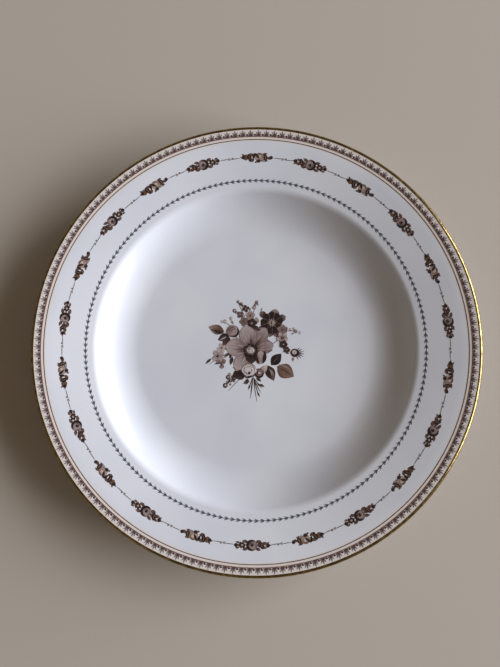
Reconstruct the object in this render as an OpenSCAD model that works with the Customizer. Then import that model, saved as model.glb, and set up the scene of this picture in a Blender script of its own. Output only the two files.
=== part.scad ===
// Dinner plate: white glazed porcelain with a printed flower decoration and a gilt edge.
// Millimetres, +Z up. The origin is the middle of the foot ring, on the table.
// The outer glazed surface is drawn first. The biscuit body is that surface moved in by
// the glaze, and every print stands on it by its own thickness.

/* [Plate] */
// Diameter over the gilt lip
plate_d = 260; // [180:1:340]
// Height of the lip above the table
plate_h = 24.5; // [18:0.5:40]
// Thickness of the glazed wall, from the floor to the shoulder
wall_t = 4; // [3:0.1:5]
// Width of the rim, from the shoulder out to the lip
rim_w = 34.4; // [28:0.2:60]
// Slope of the rim's face
rim_angle = 10; // [4:0.5:16]
// How much steeper the rim's underside is, which thins it to the lip
rim_taper = 1.2; // [0:0.1:2]
// Radius of the hollow curve between the floor and the wall
well_curve = 31; // [24:1:70]
// Radius of the curve over the shoulder
shoulder_curve = 6.5; // [6:0.5:40]

/* [Foot] */
// How far the foot ring stands in from the shoulder
foot_in = 19.6; // [12:0.2:30]
// Width of the foot ring
foot_w = 3.4; // [2.6:0.1:6]
// Height of the base above the table, inside the foot ring
base_recess = 3; // [2:0.1:6]
// Curve where the foot ring's outer face meets the wall
foot_fillet = 2.4; // [1:0.1:4]
// Curve where the foot ring's inner face meets the base
foot_inner_fillet = 1.2; // [0.5:0.1:1.6]
// Rounding of the bare foot's edges
foot_round = 0.5; // [0.2:0.1:0.8]

/* [Glaze] */
// Thickness of the glaze
glaze_t = 0.25; // [0.15:0.05:0.4]
// Height of the wiped edge of the glaze on the foot ring
glaze_stop = 1; // [0.7:0.1:1.6]

/* [Gilding and lines] */
// Thickness of the gilding and of every print
print_t = 0.06; // [0.04:0.01:0.1]
// How far the gilding turns under the lip, in degrees round the lip
gilt_turn = 30; // [0:5:60]
// Distance from the lip in to the line that carries the lace
lace_line_in = 5.7; // [5:0.1:8]
// Width of the line that carries the lace
lace_line_w = 0.45; // [0.3:0.05:1.2]
// Distance from the lip in to the inner line
inner_line_in = 7.4; // [7:0.1:12]
// Width of the inner line
inner_line_w = 0.45; // [0.3:0.05:1]

/* [Lace border] */
// Number of palmettes round the rim
lace_count = 170; // [80:1:220]
// Height of a palmette
lace_h = 3.5; // [1.5:0.1:4]
// Gap between the palmettes and their line
lace_gap = 0.05; // [0.02:0.01:0.2]

/* [Garland] */
// Number of pairs of sprays, one of roses and one of blossoms
spray_pairs = 11; // [6:1:14]
// Angle of the first rose spray
spray_start = 7.5; // [0:0.25:32]
// Distance from the lip in to the middle of the garland
garland_in = 18; // [15:0.1:24]
// Length of a rose spray
rose_spray_l = 20; // [14:0.2:26]
// Length of a blossom spray
blossom_spray_l = 19; // [14:0.2:26]
// Width of the sprays
spray_w = 7; // [5:0.2:9]
// Width of the threads that link the sprays
thread_w = 0.35; // [0.2:0.05:0.6]
// Gap between a thread and its sprays
thread_gap = 0.3; // [0.1:0.1:1]

/* [Leaf chain] */
// Number of leaf pairs round the chain
chain_count = 181; // [100:1:240]
// Distance from the shoulder out to the chain's stem
chain_out = 3.3; // [2.5:0.1:6]
// Width of the chain over its leaf tips
chain_w = 2.6; // [2:0.1:4.6]
// Width of the chain's stem
chain_stem_w = 0.4; // [0.2:0.05:0.6]

/* [Bouquet] */
// Size of the bouquet against its drawing, which is 57 mm across
bouquet_scale = 1; // [0.6:0.05:1.3]

/* [Hidden] */
$fn = 0;
lip_r = plate_d / 2 - print_t;
shoulder_r = lip_r - rim_w;
foot_r = shoulder_r - foot_in;
foot_ro = foot_r + foot_w / 2;
foot_ri = foot_r - foot_w / 2;
floor_z = base_recess + wall_t;
tan_rim = tan(rim_angle);
under_angle = rim_angle + rim_taper;
// The round lip tops out under the line of the rim's face, by an amount set by its radius.
lip_half = (wall_t - rim_w * tan(rim_taper)) / (2 - tan(rim_taper));
lip_fall = lip_half * (1 / cos(rim_angle) + tan_rim - 1);
// Slope of the wall where its two curves meet, from the height they have to climb.
climb = plate_h - print_t + lip_fall - floor_z - rim_w * tan_rim;
wall_cos = (well_curve + shoulder_curve * cos(rim_angle) - climb) / (well_curve + shoulder_curve);
wall_angle = acos(wall_cos);
floor_r = shoulder_r - well_curve * sin(wall_angle)
        - shoulder_curve * (sin(wall_angle) - sin(rim_angle));
well_c = [floor_r, floor_z + well_curve];
turn_pt = well_c + well_curve * [sin(wall_angle), -cos(wall_angle)];
shoulder_c = turn_pt - shoulder_curve * [-sin(wall_angle), cos(wall_angle)];
shoulder_pt = shoulder_c + shoulder_curve * [-sin(rim_angle), cos(rim_angle)];
under_pt = shoulder_c + (shoulder_curve - wall_t) * [-sin(under_angle), cos(under_angle)];

// The lip is the circle that touches the rim's face, its underside and the lip's radius.
n_face = [-sin(rim_angle), cos(rim_angle)];
n_under = [sin(under_angle), -cos(under_angle)];
k_face = shoulder_pt * n_face - lip_r * n_face[0];
k_under = under_pt * n_under - lip_r * n_under[0];
lip_det = n_face[1] * (1 - n_under[0]) - n_under[1] * (1 - n_face[0]);
lip_round = (n_face[1] * k_under - n_under[1] * k_face) / lip_det;
lip_c = [lip_r - lip_round, ((1 - n_under[0]) * k_face - (1 - n_face[0]) * k_under) / lip_det];

garland_r = lip_r - garland_in;
chain_r = shoulder_r + chain_out;
spray_count = 2 * spray_pairs;
spray_step = 360 / spray_count;

function mid(a, b, t) = a + (b - a) * t;
function bend(a, b, c, n = 6) =
    [for (i = [0:n]) let (t = i / n) mid(mid(a, b, t), mid(b, c, t), t)];
function sweep(c, r, a0, a1, n) =
    [for (i = [0:n]) let (a = a0 + (a1 - a0) * i / n) c + r * [cos(a), sin(a)]];
function rim_z(r) = shoulder_pt[1] + (r - shoulder_pt[0]) * tan_rim;
function under_z(r, d) =
    well_c[1] - sqrt(pow(well_curve + wall_t - d, 2) - pow(r - floor_r, 2));

// Face of the plate from the middle to the lip, moved in by d.
function face_path(d) = concat(
    [[0, floor_z - d]],
    sweep(well_c, well_curve + d, -90, wall_angle - 90, 20),
    sweep(shoulder_c, shoulder_curve - d, 90 + wall_angle, 90 + rim_angle, 12));

// The lip and the underside, down to where the foot ring starts, moved in by d.
function lip_path(d) = sweep(lip_c, lip_round - d, 90 + rim_angle, under_angle - 90, 10);
function under_path(d) = let (
        r0 = foot_ro - d + foot_fillet,
        a0 = asin((r0 - floor_r) / (well_curve + wall_t - d)))
    concat(
        sweep(shoulder_c, shoulder_curve - wall_t + d, 90 + under_angle, 90 + wall_angle, 12),
        sweep(well_c, well_curve + wall_t - d, wall_angle - 90, a0 - 90, 12));

function foot_out_path(d) = bend(
    [foot_ro - d + foot_fillet, under_z(foot_ro - d + foot_fillet, d)],
    [foot_ro - d, under_z(foot_ro - d, d)],
    [foot_ro - d, under_z(foot_ro - d, d) - foot_fillet]);
function foot_in_path(d) = bend(
    [foot_ri + d, base_recess + d - foot_inner_fillet],
    [foot_ri + d, base_recess + d],
    [foot_ri + d - foot_inner_fillet, base_recess + d]);

function past(list) = [for (i = [1:len(list) - 1]) list[i]];
function back(list) = [for (i = [len(list) - 1:-1:0]) list[i]];

function outer_path(d) =
    concat(face_path(d), lip_path(d), under_path(d), past(foot_out_path(d)));

// ---------------------------------------------------------------- body and glaze

// The fired clay: well, wall, rim and foot ring in one piece, bare only under the foot.
module biscuit_body() {
    g = glaze_t;
    color("#e9e6df")
    rotate_extrude()
    polygon(concat(
        outer_path(g),
        sweep([foot_ro - g - foot_round, foot_round], foot_round, 0, -90, 4),
        sweep([foot_ri + g + foot_round, foot_round], foot_round, -90, -180, 4),
        foot_in_path(g),
        [[0, base_recess + g]]));
}

// The coat of glaze over the face, the lip and the underside, wiped off near the table.
module glaze_coat() {
    color("#d6dbe2")
    rotate_extrude()
    polygon(concat(
        outer_path(0),
        [[foot_ro, glaze_stop], [foot_ro - glaze_t, glaze_stop]],
        back(outer_path(glaze_t))));
}

// The glaze inside the foot ring.
module base_glaze() {
    color("#d6dbe2")
    rotate_extrude()
    polygon(concat(
        [[foot_ri + glaze_t, glaze_stop], [foot_ri, glaze_stop]],
        foot_in_path(0),
        [[0, base_recess], [0, base_recess + glaze_t]],
        back(foot_in_path(glaze_t))));
}

// ---------------------------------------------------------------- gilding and lines

// Burnished gold brushed round the lip.
module gilt_edge() {
    color("#b8892f")
    rotate_extrude()
    polygon(concat(
        sweep(lip_c, lip_round + print_t, 90 + rim_angle, -gilt_turn, 10),
        back(sweep(lip_c, lip_round, 90 + rim_angle, -gilt_turn, 10))));
}

// A thin skin on the face of the rim, from radius r0 to r1.
module rim_skin(r0, r1) {
    rise = print_t / cos(rim_angle);
    rotate_extrude()
    polygon([[r0, rim_z(r0)], [r1, rim_z(r1)],
             [r1, rim_z(r1) + rise], [r0, rim_z(r0) + rise]]);
}

module lace_line() {
    color("#a98566")
    rim_skin(lip_r - lace_line_in - lace_line_w, lip_r - lace_line_in);
}

module inner_line() {
    color("#6f5648")
    rim_skin(lip_r - inner_line_in - inner_line_w, lip_r - inner_line_in);
}

// A small flat print laid on the rim at radius r and half_w to each side, with x outward
// along the slope. It is raised by as much as the rim curves up under its ends.
module laid_on_rim(r, half_w) {
    lift = pow(half_w, 2) * sin(rim_angle) / (2 * r);
    translate([r, 0, rim_z(r) + lift])
    rotate([0, -rim_angle, 0])
    linear_extrude(print_t)
    children();
}

// A bead and a palmette of five lobes on one foot, as [distance out, place across].
palmette = [[0, 0.02], [0.2, 0.03], [0.27, 0.1], [0.2, 0.17], [0.06, 0.2], [0.06, 0.46],
            [0.22, 0.34], [0.56, 0.22], [0.56, 0.34], [0.84, 0.4], [0.76, 0.5], [1, 0.58],
            [0.76, 0.66], [0.84, 0.76], [0.56, 0.82], [0.56, 0.94], [0.22, 0.82], [0.06, 0.7],
            [0.06, 0.96], [0, 0.98]];
// The printed lace: beads and palmettes by turns that stand on the line below them.
module lace_border() {
    r0 = lip_r - lace_line_in + lace_gap;
    pitch = 2 * PI * r0 / lace_count;
    color("#6d6470")
    for (i = [0:lace_count - 1])
        rotate(i * 360 / lace_count)
        laid_on_rim(r0, pitch / 2)
        polygon([for (p = palmette) [p[0] * lace_h, (0.5 - p[1]) * pitch]]);
}

// ---------------------------------------------------------------- garland

function leaf_pts(l, w, n = 5) = concat(
    [for (i = [0:n]) [l * i / n, -w / 2 * sin(180 * pow(i / n, 0.8))]],
    [for (i = [n - 1:-1:1]) [l * i / n, w / 2 * sin(180 * pow(i / n, 0.8))]]);
function petal_pts(l, w, n = 5) = concat(
    [for (i = [0:n]) [l * sin(90 * i / n), -w / 2 * sin(180 * pow(i / n, 1.25))]],
    [for (i = [n - 1:-1:1]) [l * sin(90 * i / n), w / 2 * sin(180 * pow(i / n, 1.25))]]);

// Cuts a flat drawing, which may be long, to a skin on the rim between r0 and r1.
module on_rim(r0, r1) {
    intersection() {
        rim_skin(r0, r1);
        translate([0, 0, rim_z(r0) - 1])
        linear_extrude(rim_z(r1) - rim_z(r0) + 2)
        children();
    }
}

// A leaf from its root at p, l long and w wide, pointing along a.
module leaf(p, a, l, w) {
    translate(p)
    rotate(a)
    polygon(leaf_pts(l, w));
}

// A flower of n round petals about p, r in radius.
module flower(p, r, n, a = 0) {
    translate(p) {
        circle(r = 0.45 * r);
        for (i = [0:n - 1])
            rotate(a + 360 * i / n)
            translate([0.12 * r, 0])
            polygon(petal_pts(0.88 * r, 5.2 * r / n));
    }
}

// Rose spray: a round rose, a dark leaf and a bud ahead of it, a flower and a bud behind.
module rose_spray() {
    s = rose_spray_l / 20;
    w = spray_w / 7;
    scale([s, w]) {
        translate([-0.2, -0.2])
        circle(r = 3.1);
        leaf([4.8, 2.2], -78, 4.4, 2.2);
        leaf([2.4, -1.2], -38, 3.6, 1.8);
        leaf([2.2, 1.4], 30, 3.2, 1.8);
        leaf([4.9, -0.4], 8, 3.8, 2.2);
        translate([9, -0.2])
        circle(r = 0.95);
        flower([-6, -0.1], 2.2, 4, 20);
        leaf([-2.8, 0.9], 158, 3.4, 1.8);
        leaf([-2.8, -1.1], 204, 3.2, 1.8);
        leaf([-7, 0], 178, 2.4, 1.8);
        translate([-9, -0.2])
        circle(r = 0.95);
    }
}
// Blossom spray: an open blossom with a dark leaf to each side and a bud at each end.
module blossom_spray() {
    s = blossom_spray_l / 19;
    w = spray_w / 7;
    scale([s, w]) {
        flower([-0.6, -0.2], 3.2, 5, 40);
        leaf([4.2, 2.3], -84, 4.4, 2.4);
        leaf([1.8, 0.6], 20, 3.2, 1.8);
        leaf([5, 0.4], -6, 3, 1.8);
        translate([7.8, -0.1])
        circle(r = 1);
        leaf([-5, 1.8], -96, 3.8, 2.4);
        leaf([-3, 0.9], 168, 3.4, 1.9);
        leaf([-3.2, -1], 196, 3, 1.7);
        leaf([-5.8, 0.2], 182, 3, 1.8);
        translate([-8.6, 0])
        circle(r = 0.85);
    }
}
// Sets its drawing out at every second place of the garland, from the angle a0.
module round_garland(a0) {
    for (k = [0:spray_pairs - 1])
        rotate(a0 + 2 * k * spray_step)
        on_rim(garland_r - spray_w, garland_r + spray_w)
        translate([garland_r, 0])
        rotate(90)
        children();
}

module rose_sprays() {
    color("#4a3129")
    round_garland(spray_start)
    rose_spray();
}

module blossom_sprays() {
    color("#5a4334")
    round_garland(spray_start + spray_step)
    blossom_spray();
}

// The threads between the sprays, each with a leaf pair at its middle.
module link_threads() {
    a_step = spray_step * garland_r * PI / 180;
    ahead = rose_spray_l / 2 + thread_gap;
    behind = blossom_spray_l / 2 + thread_gap;
    run = a_step - ahead - behind;
    color("#8d8a92")
    for (k = [0:spray_count - 1]) {
        // A thread starts after a rose spray on even places and after a blossom spray on odd.
        lead = k % 2 == 0 ? ahead : behind;
        a_mid = spray_start + k * spray_step + (lead + run / 2) / garland_r * 180 / PI;
        rotate(a_mid)
        on_rim(garland_r - spray_w, garland_r + spray_w)
        translate([garland_r, 0])
        rotate(90) {
            square([run, thread_w], center = true);
            leaf([-run / 10, 0], 24, run / 4, 4 * thread_w);
            leaf([-run / 10, 0], -24, run / 4, 4 * thread_w);
        }
    }
}

// ---------------------------------------------------------------- leaf chain

// Half of a leaf pair with its bit of stem, as [distance from the stem, place along].
chain_leaf = [[0, 0.03], [0, 0.52], [0.45, 0.38], [1, 0.14], [0.7, 0.6], [0, 0.97]];

// Leaf pairs in a herringbone along a thin stem, just outside the shoulder.
module leaf_chain() {
    pitch = 2 * PI * chain_r / chain_count;
    reach = chain_w / 2 - chain_stem_w / 2;
    function side(k) = [for (p = chain_leaf)
        [-k * (chain_stem_w / 2 + p[0] * reach), (p[1] - 0.5) * pitch]];
    color("#4c4650")
    for (i = [0:chain_count - 1])
        rotate(i * 360 / chain_count)
        laid_on_rim(chain_r, pitch / 2)
        polygon(concat(side(-1), back(side(1))));
}

// ---------------------------------------------------------------- bouquet
// Every bouquet drawing is in millimetres from the middle of the plate.

module on_floor() {
    translate([0, 0, floor_z])
    linear_extrude(print_t)
    scale(bouquet_scale)
    children();
}

// Petals of the large flower as [x, y, angle, length, width].
anemone_c = [-2.4, 1.2];
anemone_petals = [[-3.5, 4, 106, 11, 10.5], [-5.2, 2.6, 160, 9, 9.6], [-5, -1.4, 222, 9.2, 9.6],
                  [0.5, 3.4, 42, 12.2, 12], [1.6, 0.6, -8, 8.4, 9.6]];
module anemone_2d() {
    translate(anemone_c)
    circle(r = 4.6);
    for (p = anemone_petals)
        translate([p[0], p[1]])
        rotate(p[2])
        translate([-2, 0])
        polygon(petal_pts(p[3], p[4]));
    leaf([-4, -2.4], -112, 5.6, 5);
    leaf([0.6, -2.6], -70, 5.4, 5.6);
}
module bouquet_anemone() {
    color("#b29d94")
    on_floor()
    anemone_2d();
}

dark_c = [9.6, 16.4];
module dark_flower_2d() {
    flower(dark_c, 7.4, 9, 14);
    leaf([10.4, 10.4], -84, 4.6, 5.2);
    leaf([5, 20], 128, 4.6, 4);
}
module bouquet_dark_flower() {
    color("#3a2724")
    on_floor()
    difference() {
        dark_flower_2d();
        anemone_2d();
    }
}

// Roses and rosebuds as [x, y, radius].
roses = [[-3.1, -12, 4.9], [2.2, -14.9, 2.2], [-13.4, 11, 3.9]];
module roses_2d() {
    for (p = roses)
        flower([p[0], p[1]], p[2], 5, 90);
    leaf([5.4, -9.6], 112, 8.6, 5.6);
    leaf([1.6, -11.6], -38, 7.4, 5);
}
module bouquet_roses() {
    color("#9c8d86")
    on_floor()
    difference() {
        roses_2d();
        anemone_2d();
        dark_flower_2d();
    }
}

// Small flowers as [x, y, radius, petals].
small_flowers = [[-3.1, 20.5, 1.8, 5], [-6.8, 16.3, 2.1, 5], [-1.9, 15.3, 2.3, 5],
                 [-9, 20.8, 1.6, 4], [16.4, 11.6, 2.5, 5], [15.5, 7, 2.5, 5],
                 [15.4, 3.6, 2.2, 5], [-22, -3.6, 2.9, 4], [-19.4, 1.6, 2, 4],
                 [17.8, -0.2, 1.5, 5], [23, -2.1, 2.8, 6]];
module small_flowers_2d() {
    for (p = small_flowers)
        flower([p[0], p[1]], p[2], p[3], 90);
}
module bouquet_small_flowers() {
    color("#84746d")
    on_floor()
    difference() {
        small_flowers_2d();
        anemone_2d();
        dark_flower_2d();
        roses_2d();
    }
}

// Leaves as [root x, root y, angle, length, width].
leaves = [[10.4, -8.6, 66, 8, 5], [7, -9.4, -62, 9.2, 5.4], [13.6, -9.6, -30, 10.4, 8.4],
          [-18.8, 12.2, 176, 9.4, 5], [-15.8, 8.6, 222, 7.6, 4.6], [-6.4, -14.8, 152, 7, 5.6],
          [-15.2, 5.6, 160, 6.2, 3.2], [-5.6, -17.4, 196, 5, 2.6], [-3.4, -18, -108, 3.4, 2],
          [-13.6, -6, 214, 7.6, 4], [0.8, -18.6, -28, 3.4, 1.6], [-9.6, -5.2, 236, 6.4, 4]];
module leaves_2d() {
    for (p = leaves)
        leaf([p[0], p[1]], p[2], p[3], p[4]);
}
module bouquet_leaves() {
    color("#4b3a30")
    on_floor()
    difference() {
        leaves_2d();
        anemone_2d();
        dark_flower_2d();
        roses_2d();
        small_flowers_2d();
    }
}

// Buds of the sprigs as [x, y, radius].
buds = [[-10.5, 28.6, 0.9], [-8.1, 27.2, 1.1], [-5.9, 24.3, 1.6], [-12.4, 23.3, 1.3],
        [-14.6, 18.6, 1.1], [-17.8, 16.9, 1.1], [-20.3, 17, 0.8], [0.6, 28.2, 0.9],
        [-0.2, 25.8, 1.1], [20.5, 12.4, 0.8], [23, 11.8, 1.1], [25.4, 10.4, 0.8],
        [-27.6, -6.2, 1.2], [-25.6, -10, 1], [-23.4, -13.2, 1], [-20, -16.4, 1.1],
        [-17, -19.4, 1.1], [-15, -15.2, 1.2], [-18.6, -20.8, 0.9]];
// Thin stalks that carry them as [x, y, angle, length, width].
stalks = [[-7, 18, 104, 10.4, 0.7], [-8.6, 18.4, 124, 6.2, 0.6], [-15.2, 14.4, 146, 6.4, 0.6],
          [-2.6, 21.6, 62, 7, 0.6], [17.8, 10.4, 22, 6, 0.6], [24.8, -1.4, 34, 5.2, 0.5],
          [25.2, -2.4, 6, 4, 0.5], [24.6, -3.6, -22, 4.4, 0.5], [-22, -7, 166, 5.8, 0.7],
          [-16, -10.6, 190, 10, 0.7], [-13, -13.6, 218, 9.6, 0.7]];
module sprigs_2d() {
    for (p = buds)
        translate([p[0], p[1]])
        circle(r = p[2]);
    for (p = stalks)
        leaf([p[0], p[1]], p[2], p[3], p[4]);
}
module bouquet_sprigs() {
    color("#6c6467")
    on_floor()
    difference() {
        sprigs_2d();
        anemone_2d();
        dark_flower_2d();
        roses_2d();
        small_flowers_2d();
        leaves_2d();
    }
}

// Stems below the bouquet as [x, y, angle, length, width].
stems = [[-2, -15, -93, 12.6, 1.1], [-1.4, -15.4, -86, 13.6, 0.9], [-0.8, -16, -78, 13.2, 1],
         [-0.4, -17, -66, 10.4, 0.9], [14.8, 2, 224, 7.6, 0.8], [-2.2, -19, -116, 4.6, 1.6],
         [0.2, -20, -58, 5, 1.6]];
module stems_2d() {
    for (p = stems)
        leaf([p[0], p[1]], p[2], p[3], p[4]);
}
module bouquet_stems() {
    color("#5e4740")
    on_floor()
    difference() {
        stems_2d();
        anemone_2d();
        dark_flower_2d();
        roses_2d();
        small_flowers_2d();
        leaves_2d();
        sprigs_2d();
    }
}

biscuit_body();
glaze_coat();
base_glaze();
gilt_edge();
lace_border();
lace_line();
inner_line();
rose_sprays();
blossom_sprays();
link_threads();
leaf_chain();
bouquet_anemone();
bouquet_dark_flower();
bouquet_roses();
bouquet_small_flowers();
bouquet_leaves();
bouquet_sprigs();
bouquet_stems();
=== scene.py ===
# A dinner plate: white glazed porcelain with a printed flower decoration and a gilt lip.
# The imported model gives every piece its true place. Lengths below are in millimetres where
# they are named so, and are turned to metres where a mesh takes them.
import math

import bpy
from mathutils import Matrix, Vector


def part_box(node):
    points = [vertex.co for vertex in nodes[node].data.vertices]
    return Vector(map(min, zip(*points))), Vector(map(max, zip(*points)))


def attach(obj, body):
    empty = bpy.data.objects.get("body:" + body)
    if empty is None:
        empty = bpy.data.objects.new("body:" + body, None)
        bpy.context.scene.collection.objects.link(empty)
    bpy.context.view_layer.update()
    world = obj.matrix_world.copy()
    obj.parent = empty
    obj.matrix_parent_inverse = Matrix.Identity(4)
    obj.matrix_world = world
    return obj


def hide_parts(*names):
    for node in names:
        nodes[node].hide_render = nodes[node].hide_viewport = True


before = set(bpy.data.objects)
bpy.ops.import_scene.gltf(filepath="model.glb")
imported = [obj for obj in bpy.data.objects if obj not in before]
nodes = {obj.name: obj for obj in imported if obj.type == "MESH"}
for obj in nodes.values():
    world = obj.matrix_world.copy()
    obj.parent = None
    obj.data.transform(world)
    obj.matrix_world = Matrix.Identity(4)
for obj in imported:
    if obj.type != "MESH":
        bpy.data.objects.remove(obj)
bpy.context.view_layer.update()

# ---------------------------------------------------------------- biscuit body
# The fired clay, pressed and turned in one piece with its foot ring. It is hidden by the
# glaze everywhere but under the foot, where it is ground smooth and stays matt and warm.
MM = 0.001           # a millimetre in metres, the length that meshes and patterns take


def linear(code, alpha=1.0):
    """An sRGB hex code as the linear colour a shader takes."""
    parts = [int(code[i:i + 2], 16) / 255 for i in (0, 2, 4)]
    return [p / 12.92 if p <= 0.04045 else ((p + 0.055) / 1.055) ** 2.4 for p in parts] + [alpha]


def add(tree, kind, settings=None, links=None):
    """Adds a node, gives it its settings and joins its inputs. A ramp takes its stops."""
    node = tree.nodes.new("ShaderNode" + kind)
    for key, value in (settings or {}).items():
        if key == "stops":
            marks = node.color_ramp.elements
            while len(marks) < len(value):
                marks.new(0.5)
            for mark, (place, code) in zip(marks, value):
                mark.position, mark.color = place, linear(code)
        elif isinstance(key, int) or key in node.inputs:
            node.inputs[key].default_value = value
        else:
            setattr(node, key, value)
    for key, socket in (links or {}).items():
        tree.links.new(socket, node.inputs[key])
    return node


def finish_of(name, settings):
    """A new material with one shader, and the shader's tree."""
    material = bpy.data.materials.new(name)
    material.use_nodes = True
    tree = material.node_tree
    tree.nodes.clear()
    shader = add(tree, "BsdfPrincipled", settings)
    add(tree, "OutputMaterial", {}, {"Surface": shader.outputs[0]})
    return material, tree, shader


def wear(piece, material):
    piece.data.materials.clear()
    piece.data.materials.append(material)


# Unglazed fired porcelain: matt, warm white, with a fine sandy grain from the kiln shelf.
biscuit, tree, shader = finish_of("fired_biscuit_porcelain", {"Roughness": 0.62, "IOR": 1.5})
place = add(tree, "TexCoord").outputs["Object"]
grain = add(tree, "TexNoise", {"Scale": 1 / (0.6 * MM), "Detail": 3.0}, {"Vector": place})
kiln_sand = add(tree, "ValToRGB", {"stops": [(0.3, "cfc6b6"), (0.55, "e6dfd2"), (0.8, "efe9de")]},
                {"Fac": grain.outputs["Fac"]})
tree.links.new(kiln_sand.outputs["Color"], shader.inputs["Base Color"])
rough = add(tree, "Bump", {"Strength": 0.25, "Distance": 0.05 * MM},
            {"Height": grain.outputs["Fac"]})
tree.links.new(rough.outputs["Normal"], shader.inputs["Normal"])
wear(nodes["biscuit_body"], biscuit)

# ---------------------------------------------------------------- glaze coat and base glaze
# Clear glaze fired on to white porcelain. It covers the face, the lip and the underside in
# one coat, and the base inside the foot ring in another, both wiped off above the table.
TURN_STEPS = 288     # facets round the plate
SOFT_EDGE = 32       # degrees: turned edges sharper than this stay crisp


def pick_nothing():
    if bpy.context.object and bpy.context.object.mode != "OBJECT":
        bpy.ops.object.mode_set(mode="OBJECT")
    bpy.ops.object.select_all(action="DESELECT")


def work_on(piece):
    pick_nothing()
    piece.select_set(True)
    bpy.context.view_layer.objects.active = piece
    bpy.ops.object.mode_set(mode="EDIT")
    bpy.ops.mesh.select_mode(type="VERT")


def pick_vertices(piece, test):
    """In edit mode, selects the vertices whose place passes the test."""
    bpy.ops.mesh.select_all(action="DESELECT")
    bpy.ops.object.mode_set(mode="OBJECT")
    for v in piece.data.vertices:
        v.select = test(v.co)
    bpy.ops.object.mode_set(mode="EDIT")


def turned(node, name):
    """Turns a piece on the wheel: the node's outline at +X, spun round the plate's axis."""
    piece = nodes[node].copy()
    piece.data = nodes[node].data.copy()
    piece.name = piece.data.name = name
    piece.parent = None
    for key in list(piece.keys()):
        del piece[key]
    bpy.context.scene.collection.objects.link(piece)
    work_on(piece)
    bpy.ops.mesh.select_all(action="SELECT")
    bpy.ops.mesh.remove_doubles(threshold=1e-6)
    for normal in ((0, 1, 0), (1, 0, 0)):
        bpy.ops.mesh.select_all(action="SELECT")
        bpy.ops.mesh.bisect(plane_co=(0, 0, 0), plane_no=normal, clear_inner=True,
                            clear_outer=normal[1] == 1)
    bpy.ops.mesh.select_all(action="SELECT")
    bpy.ops.mesh.spin(steps=TURN_STEPS, angle=2 * math.pi, center=(0, 0, 0), axis=(0, 0, 1))
    bpy.ops.mesh.select_all(action="SELECT")
    bpy.ops.mesh.remove_doubles(threshold=2e-6)
    bpy.ops.mesh.normals_make_consistent(inside=False)
    pick_nothing()
    piece.select_set(True)
    bpy.context.view_layer.objects.active = piece
    bpy.ops.object.shade_smooth_by_angle(angle=math.radians(SOFT_EDGE))
    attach(piece, "root")
    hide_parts(node)
    return piece


glaze_coat = turned("glaze_coat", "glaze_coat_face")
base_glaze = turned("base_glaze", "glaze_inside_foot")

# Clear glaze over white china: a cool white body under a bright glassy skin. The skin is
# very slightly rippled, as glaze is where it ran.
IVORY_FROM = 121.4
glazed, tree, shader = finish_of("glazed_white_porcelain", {
    "Roughness": 0.32, "IOR": 1.5, "Coat Weight": 0.8, "Coat Roughness": 0.1, "Coat IOR": 1.5})
place = add(tree, "TexCoord").outputs["Object"]
cloud = add(tree, "TexNoise", {"Scale": 1 / (45 * MM), "Detail": 2.0}, {"Vector": place})
body = add(tree, "ValToRGB", {"stops": [(0.35, "dddfe4"), (0.65, "e5e6e9")]},
           {"Fac": cloud.outputs["Fac"]})
# The border outside the inner line is laid on a pale ivory ground, on the face only: the
# underside keeps its plain white glaze.
across = add(tree, "SeparateXYZ", {}, {"Vector": place})
squares = [add(tree, "Math", {"operation": "MULTIPLY"},
               {0: across.outputs[axis], 1: across.outputs[axis]}) for axis in (0, 1)]
square = add(tree, "Math", {"operation": "ADD"},
             {0: squares[0].outputs[0], 1: squares[1].outputs[0]})
radius = add(tree, "Math", {"operation": "SQRT"}, {0: square.outputs[0]})
ground = add(tree, "MapRange", {"From Min": (IVORY_FROM - 0.2) * MM,
        "From Max": (IVORY_FROM + 0.2) * MM},
             {"Value": radius.outputs[0]})
facing = add(tree, "SeparateXYZ", {}, {"Vector": add(tree, "TexCoord").outputs["Normal"]})
upward = add(tree, "MapRange", {"From Min": 0.05, "From Max": 0.2}, {"Value": facing.outputs[2]})
on_face = add(tree, "Math", {"operation": "MULTIPLY"}, {0: ground.outputs[0],
        1: upward.outputs[0]})
tinted = add(tree, "MixRGB", {"Color2": linear("e6dcd3")},
             {"Fac": on_face.outputs[0], "Color1": body.outputs["Color"]})
tree.links.new(tinted.outputs[0], shader.inputs["Base Color"])
ripple = add(tree, "TexNoise", {"Scale": 1 / (9 * MM), "Detail": 1.0}, {"Vector": place})
wavy = add(tree, "Bump", {"Strength": 0.12, "Distance": 0.1 * MM},
        {"Height": ripple.outputs["Fac"]})
tree.links.new(wavy.outputs["Normal"], shader.inputs["Normal"])
tree.links.new(wavy.outputs["Normal"], shader.inputs["Coat Normal"])
wear(glaze_coat, glazed)
wear(base_glaze, glazed)

# ---------------------------------------------------------------- gilt edge
gilt_edge = turned("gilt_edge", "gilt_lip_band")
gold, tree, shader = finish_of("burnished_gold", {"Metallic": 1.0, "Roughness": 0.24})
place = add(tree, "TexCoord").outputs["Object"]
rub = add(tree, "TexNoise", {"Scale": 1 / (3 * MM), "Detail": 3.0}, {"Vector": place})
tone = add(tree, "ValToRGB", {"stops": [(0.3, "6d5f3e"), (0.6, "a98f58"), (0.8, "cdb583")]},
           {"Fac": rub.outputs["Fac"]})
tree.links.new(tone.outputs["Color"], shader.inputs["Base Color"])
wear(gilt_edge, gold)

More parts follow.
